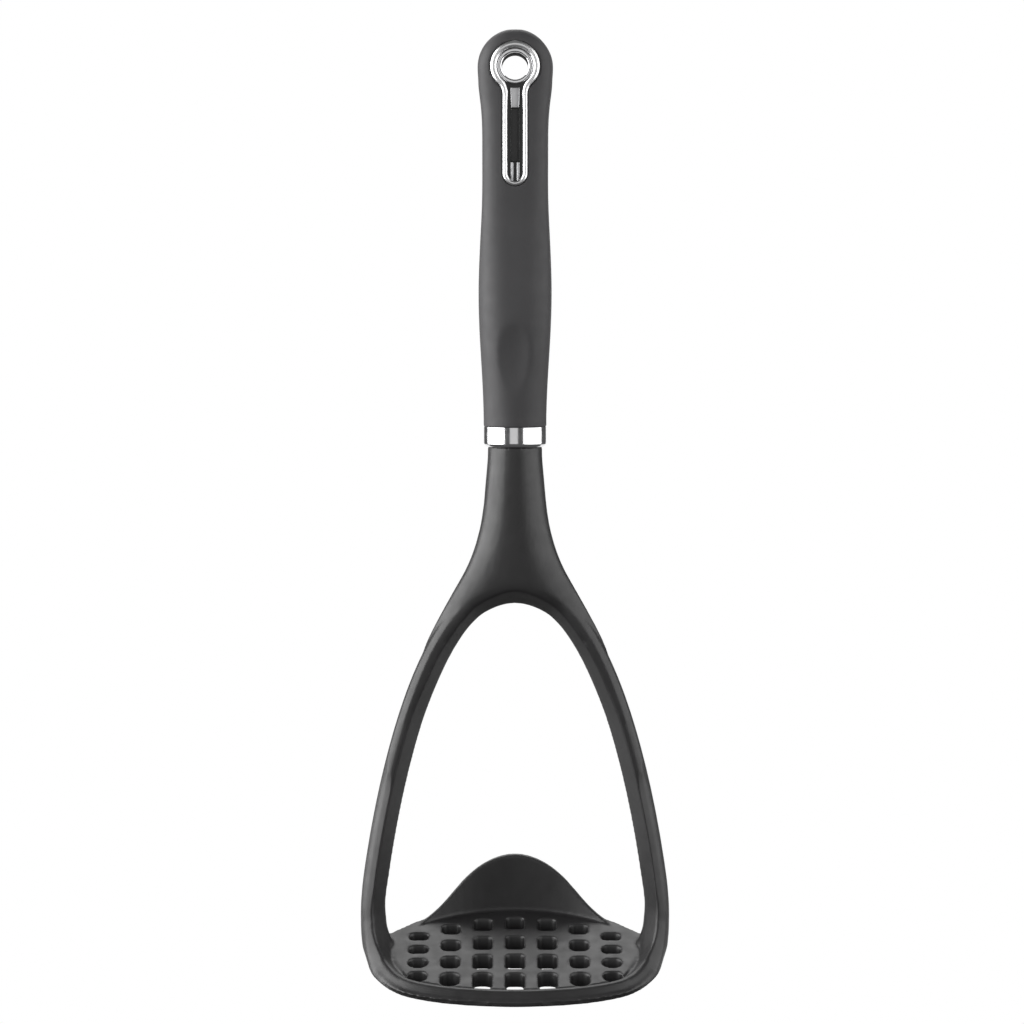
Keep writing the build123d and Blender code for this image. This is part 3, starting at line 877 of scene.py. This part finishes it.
@dataclass
class MouldedHead:
    """The head as one moulding: neck, wishbone loop, rim, plate and guard.

    The carried-over solid gets a band that leads each arm round the corner into the rim, and
    the whole is then melted together, so that its edges and inner corners are soft.

    Args:
        route: Centre line of one arm's lower end and half the rim, right side, millimetres.
        arm_size: Width and depth of the band where it leaves the arm, millimetres.
        rim_size: Width and height of the band across the front, millimetres.
        squareness: Exponent of the band's section, 2 for an ellipse.
        ring_points: Points round one section.
        ring_count: Sections along one half of the band.
        rim_blend: Ways between which the band's section changes to the rim's.
        band_begin: Share of the section at the band's end, and what it gains from there.
        arm_route: Centre line of the right arm down to the band, millimetres.
        station_count: Stations along the centre line of arm and rim.
        carve_reach: How far from the centre line the mesh is carved, metres.
        carve_out: Inner limit of that, and outer limits on the arm and past the foot.
        carve_back: Height behind which nothing is carved.
        foot_way: Way at which the outer limit changes, metres.
        plate_top_drop: Drop of the plate's top at Y = 0, metres.
        plate_slope: Rise of the plate towards the back for each step.
        voxel: Size of the grid that melts the pieces together.
        smoothing: Rounds of smoothing everywhere.
        corner_smoothing: Rounds of smoothing at corners and edges.
        heel_place: Middle of the swelling at the right arm's foot, millimetres.
        heel_radii: Its lower and upper radius.
        heel_height: Its height.
        heel_sides: Its number of sides.
        slot_floor: How much lower the underside lies round the slots, millimetres.
        most_faces: Triangles that the finished mesh keeps.
        arch_ridge: Places on the arch's ridge, found while carving.
    """

    PAST_MIDDLE = 0.2
    # Zones of the plate, millimetres: distance from the middle plane, place towards the
    # back and height over the plate's top.
    SLOTS_HALF = 37.4
    SLOTS_SPAN = (-22.5, 15.5)
    SLOTS_HEIGHT = (-6.0, 0.8)
    UNDERSIDE = -2.4
    SINK_BLEND = (-32.0, -10.0, -18.0)
    HEEL_ZONE = ((33.0, 39.0), (-8.0, -2.0), (-24.0, -16.0))
    EDGE_ZONE = ((5.0, 12.0), (2.6, 3.4))
    LIP_HEIGHT = (-1.0, 3.0)
    # Zone of the arch's ridge: way and reach in metres, the rest in millimetres.
    RIDGE_WAY = 0.030
    RIDGE_OUT = (-1.5, 4.0)
    RIDGE_HIGH = 2.0
    RIDGE_LEVEL = -196.0
    RIDGE_FRONT = -3.0
    RIDGE_REACH = 0.0006
    # Weights of the smoothing.
    EDGE_WEIGHT = 0.5
    LIP_WEIGHT = 0.7
    RIDGE_WEIGHT = 0.5
    SLOT_WEIGHT = 0.1
    LEAST_WEIGHT = 0.05

    route: tuple[Triple, ...] = (
        (47.40, 0.0, -272.0), (47.45, 0.0, -278.0), (47.35, -0.4, -284.0),
        (46.95, -1.8, -289.3), (46.10, -4.6, -294.0), (44.60, -9.0, -297.6),
        (42.20, -14.2, -299.8), (38.60, -19.0, -301.6), (33.60, -22.2, -302.8),
        (24.00, -25.0, -303.8), (12.00, -26.6, -304.4), (0.00, -27.1, -304.6),
    )
    arm_size: Pair = (8.75, 10.0)
    rim_size: Pair = (6.6, 6.1)
    squareness: float = 2.5
    ring_points: int = 28
    ring_count: int = 60
    rim_blend: Pair = (10.0, 38.0)
    band_begin: Pair = (0.55, 0.45)
    arm_route: tuple[Triple, ...] = (
        (0.00, 0.0, -172.9), (11.29, 0.0, -176.1), (17.49, 0.0, -181.1),
        (23.83, 0.0, -190.0), (28.21, 0.0, -198.5), (34.55, 0.0, -215.1),
        (39.22, 0.0, -231.6), (42.89, 0.0, -248.1), (45.74, 0.0, -264.5),
    )
    station_count: int = 600
    carve_reach: float = 0.0125
    carve_out: Triple = (-5.0, 6.0, 10.0)
    carve_back: float = -7.0
    foot_way: float = 0.120
    plate_top_drop: float = 0.29356
    plate_slope: float = 0.36397
    voxel: float = 0.0004
    smoothing: int = 6
    corner_smoothing: int = 45
    heel_place: Triple = (45.7, 3.2, -289.0)
    heel_radii: Pair = (5.3, 1.6)
    heel_height: float = 12.0
    heel_sides: int = 48
    slot_floor: float = 0.6
    most_faces: int = 190_000
    arch_ridge: list[Vector] = field(default_factory=list)

    def build(self) -> None:
        """Model the head, dress it and let it stand for the carried-over solid."""
        piece = merged_copy("mashing_head", "moulded_head")
        others = [self._band(), *self._heels()]
        only(piece)
        for other in others:
            other.select_set(True)
        bpy.ops.object.join()
        melt(piece, self.voxel)
        self._carve(piece)
        melt(piece, self.voxel)
        self._round_off(piece)
        thin_out(piece, self.most_faces)
        hand_over(piece, NYLON, "head_nylon", "mashing_head")

    def _band(self) -> Object:
        """Sweep the band from one arm round the front to the other.

        Returns:
            The band as a closed tube.
        """
        half = [Vector(point) * MM for point in self.route]
        mirrored = [Vector((-point.x, point.y, point.z)) for point in reversed(half[:-1])]
        stations = smooth_line(half + mirrored, 2 * self.ring_count)
        lengths = [0.0]
        for start, end in zip(stations, stations[1:]):
            lengths.append(lengths[-1] + (end - start).length)
        bpy.ops.object.select_all(action="DESELECT")
        bpy.ops.mesh.primitive_circle_add(vertices=self.ring_points, radius=0.5)
        ring = bpy.context.object
        ring.name = "rim_band"
        unit = [vertex.co.copy() for vertex in ring.data.vertices]
        across = Vector((1.0, 0.0, 0.0))
        rings = []
        for place, station in enumerate(stations):
            ahead = stations[min(place + 1, len(stations) - 1)]
            behind = stations[max(place - 1, 0)]
            along = (ahead - behind).normalized()
            across = (across - along * across.dot(along)).normalized()
            beyond = along.cross(across)
            way = min(lengths[place], lengths[-1] - lengths[place])
            rings.append(self._section(unit, station, across, beyond, way))
        bpy.data.objects.remove(ring)
        return tube_of_rings("rim_band", rings)

    def _section(
        self, unit: list[Vector], station: Vector, across: Vector, beyond: Vector, way: float
    ) -> list[Vector]:
        """Place one section of the band.

        Args:
            unit: Points of a circle of diameter 1.
            station: Centre of the section.
            across: Direction of the section's width.
            beyond: Direction of the section's depth.
            way: Distance from the nearer end of the band.

        Returns:
            The section's points.
        """
        share = eased(way / MM, *self.rim_blend)
        width = (self.arm_size[0] + (self.rim_size[0] - self.arm_size[0]) * share) * MM
        depth = (self.arm_size[1] + (self.rim_size[1] - self.arm_size[1]) * share) * MM
        least, gain = self.band_begin
        begun = least + gain * eased(way / MM, 0.0, self.rim_blend[0])
        width, depth = width * begun, depth * begun
        power = 2.0 / self.squareness
        placed = []
        for point in unit:
            wide = math.copysign(abs(2.0 * point.x) ** power, point.x) * width / 2.0
            deep = math.copysign(abs(2.0 * point.y) ** power, point.y) * depth / 2.0
            placed.append(station + across * wide + beyond * deep)
        return placed

    def _heels(self) -> list[Object]:
        """Model the swelling where each arm's foot runs out into the plate.

        Returns:
            One tapered round piece for each arm.
        """
        heels = []
        x, y, z = self.heel_place
        low, high = self.heel_radii
        for side, across in (("left", -1.0), ("right", 1.0)):
            bpy.ops.object.select_all(action="DESELECT")
            bpy.ops.mesh.primitive_cone_add(
                vertices=self.heel_sides,
                radius1=low * MM,
                radius2=high * MM,
                depth=self.heel_height * MM,
                location=(across * x * MM, y * MM, z * MM),
            )
            heel = bpy.context.object
            heel.name = f"heel_{side}"
            bpy.ops.object.transform_apply(location=True, rotation=True, scale=True)
            heels.append(heel)
        return heels

    def _carve(self, piece: Object) -> None:
        """Give the arms and the rim their ridge, steep inner flank and thin front edge.

        Args:
            piece: The head's melted mesh.
        """
        stations = self._stations()
        finder = self._finder([station.centre for station in stations])
        inmost, outmost, past_foot = self.carve_out
        for vertex in piece.data.vertices:
            side = math.copysign(1.0, vertex.co.x)
            spot = Vector((abs(vertex.co.x), vertex.co.y, vertex.co.z))
            _, place, gap = finder.find(spot)
            if gap > self.carve_reach:
                continue
            station = stations[place]
            apart = spot - station.centre
            out, high = apart.dot(station.outward) / MM, apart.dot(station.front) / MM
            widest = outmost if station.way < self.foot_way else past_foot
            if not (inmost < out < widest and self.carve_back < high):
                continue
            new_out, new_high = station.limited(out, high)
            move = station.outward * (new_out - out) + station.front * (new_high - high)
            move *= MM
            above = spot.z + self.plate_top_drop - spot.y * self.plate_slope
            sink = move.y * self.plate_slope - move.z
            if sink > above > 0.0:
                move *= above / sink
            spot += move
            vertex.co = Vector((side * spot.x, spot.y, spot.z))
            on_ridge = self.RIDGE_OUT[0] < out < self.RIDGE_OUT[1] and high > self.RIDGE_HIGH
            if station.way < self.RIDGE_WAY and on_ridge:
                self.arch_ridge.append(vertex.co.copy())

    def _finder(self, spots: list[Vector]) -> KDTree:
        """Make a search tree of places."""
        finder = KDTree(len(spots))
        for place, spot in enumerate(spots):
            finder.insert(spot, place)
        finder.balance()
        return finder

    def _stations(self) -> list["Station"]:
        """Walk the centre line from the arch down the right arm and round the rim.

        Returns:
            The stations along it.
        """
        points = [Vector(point) * MM for point in self.arm_route + self.route[1:]]
        flip = Vector((-1.0, 1.0, 1.0))
        points = [points[1] * flip] + points + [points[-2] * flip]
        line = smooth_line(points, self.station_count)
        line = [spot for spot in line if spot.x > -self.PAST_MIDDLE * MM]
        outward = Vector((0.0, 0.0, 1.0))
        stations, way = [], 0.0
        for place, centre in enumerate(line):
            ahead = line[min(place + 1, len(line) - 1)]
            behind = line[max(place - 1, 0)]
            along = (ahead - behind).normalized()
            outward = (outward - along * outward.dot(along)).normalized()
            stations.append(Station(centre, outward, along.cross(outward), way))
            way += (ahead - centre).length
        return stations

    def _round_off(self, piece: Object) -> None:
        """Round the edges and inner corners, and keep the slots crisp.

        Args:
            piece: The head's melted mesh.
        """
        finder = self._finder(self.arch_ridge)
        front, back = self.SLOTS_SPAN
        low, high = self.SLOTS_HEIGHT
        side_full, back_full, front_full = self.SINK_BLEND
        outside, inside = [], []
        corners: dict[float, list[int]] = {}
        for vertex in piece.data.vertices:
            x, y, z = abs(vertex.co.x) / MM, vertex.co.y / MM, vertex.co.z / MM
            above = z + self.plate_top_drop / MM - y * self.plate_slope
            slotted = x < self.SLOTS_HALF and front < y < back and low < above < high
            (inside if slotted else outside).append(vertex.index)
            if slotted and above < self.UNDERSIDE:
                share = eased(-x, -self.SLOTS_HALF, side_full) * eased(-y, -back, back_full)
                vertex.co.z -= self.slot_floor * MM * share * eased(y, front, front_full)
            weight = self._softness(x, y, above, slotted)
            if z > self.RIDGE_LEVEL and y < self.RIDGE_FRONT:
                if finder.find(vertex.co)[2] < self.RIDGE_REACH:
                    weight = self.RIDGE_WEIGHT
            if weight > self.LEAST_WEIGHT:
                corners.setdefault(round(weight, 1), []).append(vertex.index)
        soften(piece, corners, "corners", self.corner_smoothing)
        weights = {1.0: outside, self.SLOT_WEIGHT: inside}
        soften(piece, weights, "edges", self.smoothing)

    def _softness(self, x: float, y: float, above: float, slotted: bool) -> float:
        """Tell how much one place of the head is rounded off.

        Args:
            x: Distance from the middle plane, millimetres.
            y: Place towards the back, millimetres.
            above: Height over the plate's top, millimetres.
            slotted: Whether the place lies in the field of slots.

        Returns:
            The weight of the smoothing.
        """
        across, back, up = self.HEEL_ZONE
        heel = eased(x, *across) * eased(y, *back) * eased(-above, *up)
        if slotted:
            return heel
        forward, under = self.EDGE_ZONE
        edge = self.EDGE_WEIGHT * eased(-y, *forward) * eased(-above, *under)
        beside = x > self.SLOTS_HALF and y < 0.0
        low, high = self.LIP_HEIGHT
        lip = self.LIP_WEIGHT if beside and low < above < high else 0.0
        return max(heel, edge, lip)


@dataclass
class Softbox:
    """A large soft lamp that faces the object's axis.

    Args:
        name: Name of the lamp.
        azimuth: Direction from the axis, degrees from the front.
        distance: Distance from the axis.
        width: Width of the lamp.
        bottom: Level of its lower edge when upright.
        top: Level of its upper edge when upright.
        radiance: Brightness of its face.
        tilt: How far it looks down, degrees.
    """

    name: str
    azimuth: float
    distance: float
    width: float
    bottom: float
    top: float
    radiance: float
    tilt: float = 0.0

    def build(self) -> None:
        """Place the lamp so that it faces the object's axis, upright or tilted down."""
        lamp = bpy.data.lights.new(self.name, "AREA")
        lamp.shape = "RECTANGLE"
        lamp.size = self.width
        lamp.size_y = self.top - self.bottom
        lamp.energy = self.radiance * math.pi * lamp.size * lamp.size_y
        light = bpy.data.objects.new(self.name, lamp)
        bpy.context.scene.collection.objects.link(light)
        turn = math.radians(self.azimuth)
        away = Vector((math.sin(turn), -math.cos(turn), 0.0))
        light.location = away * self.distance + Vector((0.0, 0.0, (self.top + self.bottom) / 2))
        facing = away + Vector((0.0, 0.0, math.tan(math.radians(self.tilt))))
        light.rotation_euler = facing.to_track_quat("Z", "Y").to_euler()
        light.visible_camera = False


@dataclass
class Studio:
    """Floor, backdrop, lamps and the camera, in metres.

    Args:
        floor_drop: How far the floor lies below the origin.
        floor_start: Where the floor begins behind the object.
        stage_width: Width of floor and backdrop.
        backdrop_reach: Where the backdrop stands.
        backdrop_top: Level of the backdrop's upper edge.
        pale: Colour of the stage's paint.
        world_grey: Level of the fill light all round.
        camera_drop: How far the camera stands below the origin.
        camera_pitch: How far it looks down, degrees.
        camera_side: Its place across.
        camera_reach: Its distance in front.
        picture_side: Side of the photograph, pixels.
        focal_pixels: Focal length, pixels.
        sensor_width: Width of the sensor, millimetres.
        sight: Distance at which the camera's view ends.
        lamps: The lamps.
    """

    floor_drop: float = 0.42
    floor_start: float = 0.33
    stage_width: float = 1.3
    backdrop_reach: float = 1.9
    backdrop_top: float = 8.0
    pale: Triple = (0.86, 0.86, 0.86)
    world_grey: float = 0.09
    camera_drop: float = 0.07029
    camera_pitch: float = 4.36
    camera_side: float = -0.001
    camera_reach: float = 1.0
    picture_side: int = 1024
    focal_pixels: float = 3018.0
    sensor_width: float = 36.0
    sight: float = 20.0
    lamps: tuple[Softbox, ...] = (
        Softbox("top_rear", 180.0, 0.96, 1.30, 0.63, 1.33, 2.0, 53.0),
        Softbox("softbox_left", -80.0, 0.95, 1.54, -0.45, 0.80, 4.4),
        Softbox("softbox_right", 72.5, 0.95, 1.68, -0.45, 0.80, 1.9),
        Softbox("front_card", -4.3, 1.35, 0.71, -0.45, 0.60, 0.56),
    )

    def build(self) -> None:
        """Set up the whole studio."""
        for lamp in self.lamps:
            lamp.build()
        self._stage()
        self._world()
        self._camera()
        bpy.context.scene.view_settings.view_transform = "Standard"

    def _stage(self) -> None:
        """Add the pale floor and the backdrop."""
        pale = self._backdrop_material()
        length = self.backdrop_reach - self.floor_start
        middle = (self.backdrop_reach + self.floor_start) / 2
        height = self.backdrop_top + self.floor_drop
        centre = (self.backdrop_top - self.floor_drop) / 2
        places = (
            ("studio_floor", (0.0, middle, -self.floor_drop), 0.0, length),
            ("studio_backdrop", (0.0, self.backdrop_reach, centre), 90.0, height),
        )
        for name, place, turn, extent in places:
            bpy.ops.mesh.primitive_plane_add(
                size=1.0, location=place, rotation=(math.radians(turn), 0.0, 0.0)
            )
            sheet = bpy.context.object
            sheet.name = name
            sheet.scale = (self.stage_width, extent, 1.0)
            bpy.ops.object.transform_apply(location=True, rotation=True, scale=True)
            sheet.data.materials.append(pale)
            sheet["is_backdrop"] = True

    def _seen(self, tree: NodeTree) -> Socket:
        """Tell whether a ray shows the background itself or in gloss or glass.

        Args:
            tree: Node tree that takes the nodes.

        Returns:
            A socket that is 1 for camera, glossy and transmission rays.
        """
        path = add_node(tree, "ShaderNodeLightPath", {})
        total = path.outputs["Is Camera Ray"]
        for ray in ("Is Glossy Ray", "Is Transmission Ray"):
            rays = {0: total, 1: path.outputs[ray]}
            total = add_node(tree, "ShaderNodeMath", rays, operation="MAXIMUM").outputs["Value"]
        return total

    def _backdrop_material(self) -> bpy.types.Material:
        """White where it is seen, plain pale paint for the light it returns.

        Returns:
            The new material.
        """
        made = bpy.data.materials.new("studio_pale")
        made.cycles.emission_sampling = "NONE"
        made.use_nodes = True
        tree = made.node_tree
        tree.nodes.remove(tree.nodes["Principled BSDF"])
        paint = add_node(tree, "ShaderNodeBsdfDiffuse", {"Color": (*self.pale, 1.0)})
        glow = add_node(tree, "ShaderNodeEmission", {"Strength": 1.0})
        looks = {0: self._seen(tree), 1: paint.outputs["BSDF"], 2: glow.outputs["Emission"]}
        mixed = add_node(tree, "ShaderNodeMixShader", looks)
        fill(tree.nodes["Material Output"], {"Surface": mixed.outputs["Shader"]})
        return made

    def _world(self) -> None:
        """Grey fill light all round, white where the camera looks past the stage."""
        world = bpy.data.worlds.new("studio_world")
        bpy.context.scene.world = world
        world.use_nodes = True
        tree = world.node_tree
        seen = add_node(tree, "ShaderNodeLightPath", {}).outputs["Is Camera Ray"]
        levels = {"To Min": self.world_grey, "To Max": 1.0, "Value": seen}
        level = add_node(tree, "ShaderNodeMapRange", levels).outputs["Result"]
        white = (1.0, 1.0, 1.0, 1.0)
        fill(tree.nodes["Background"], {"Color": white, "Strength": level})

    def _camera(self) -> None:
        """Put the camera where the photograph was taken."""
        lens = bpy.data.cameras.new("photo_camera")
        lens.sensor_width = self.sensor_width
        lens.lens = lens.sensor_width * self.focal_pixels / self.picture_side
        lens.clip_end = self.sight
        camera = bpy.data.objects.new("photo_camera", lens)
        bpy.context.scene.collection.objects.link(camera)
        camera.location = (self.camera_side, -self.camera_reach, -self.camera_drop)
        camera.rotation_euler = (math.radians(90.0 - self.camera_pitch), 0.0, 0.0)
        bpy.context.scene.camera = camera


def main() -> None:
    """Build the studio and dress the masher, piece by piece."""
    logging.basicConfig(level=logging.INFO, format="%(message)s")
    Studio().build()
    for assembly in (Handle(), Grip(), KeyholeTrim(), MouldedHead()):
        assembly.build()
    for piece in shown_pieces():
        LOG.info("piece %s", piece.name)


if __name__ == "__main__":
    main()
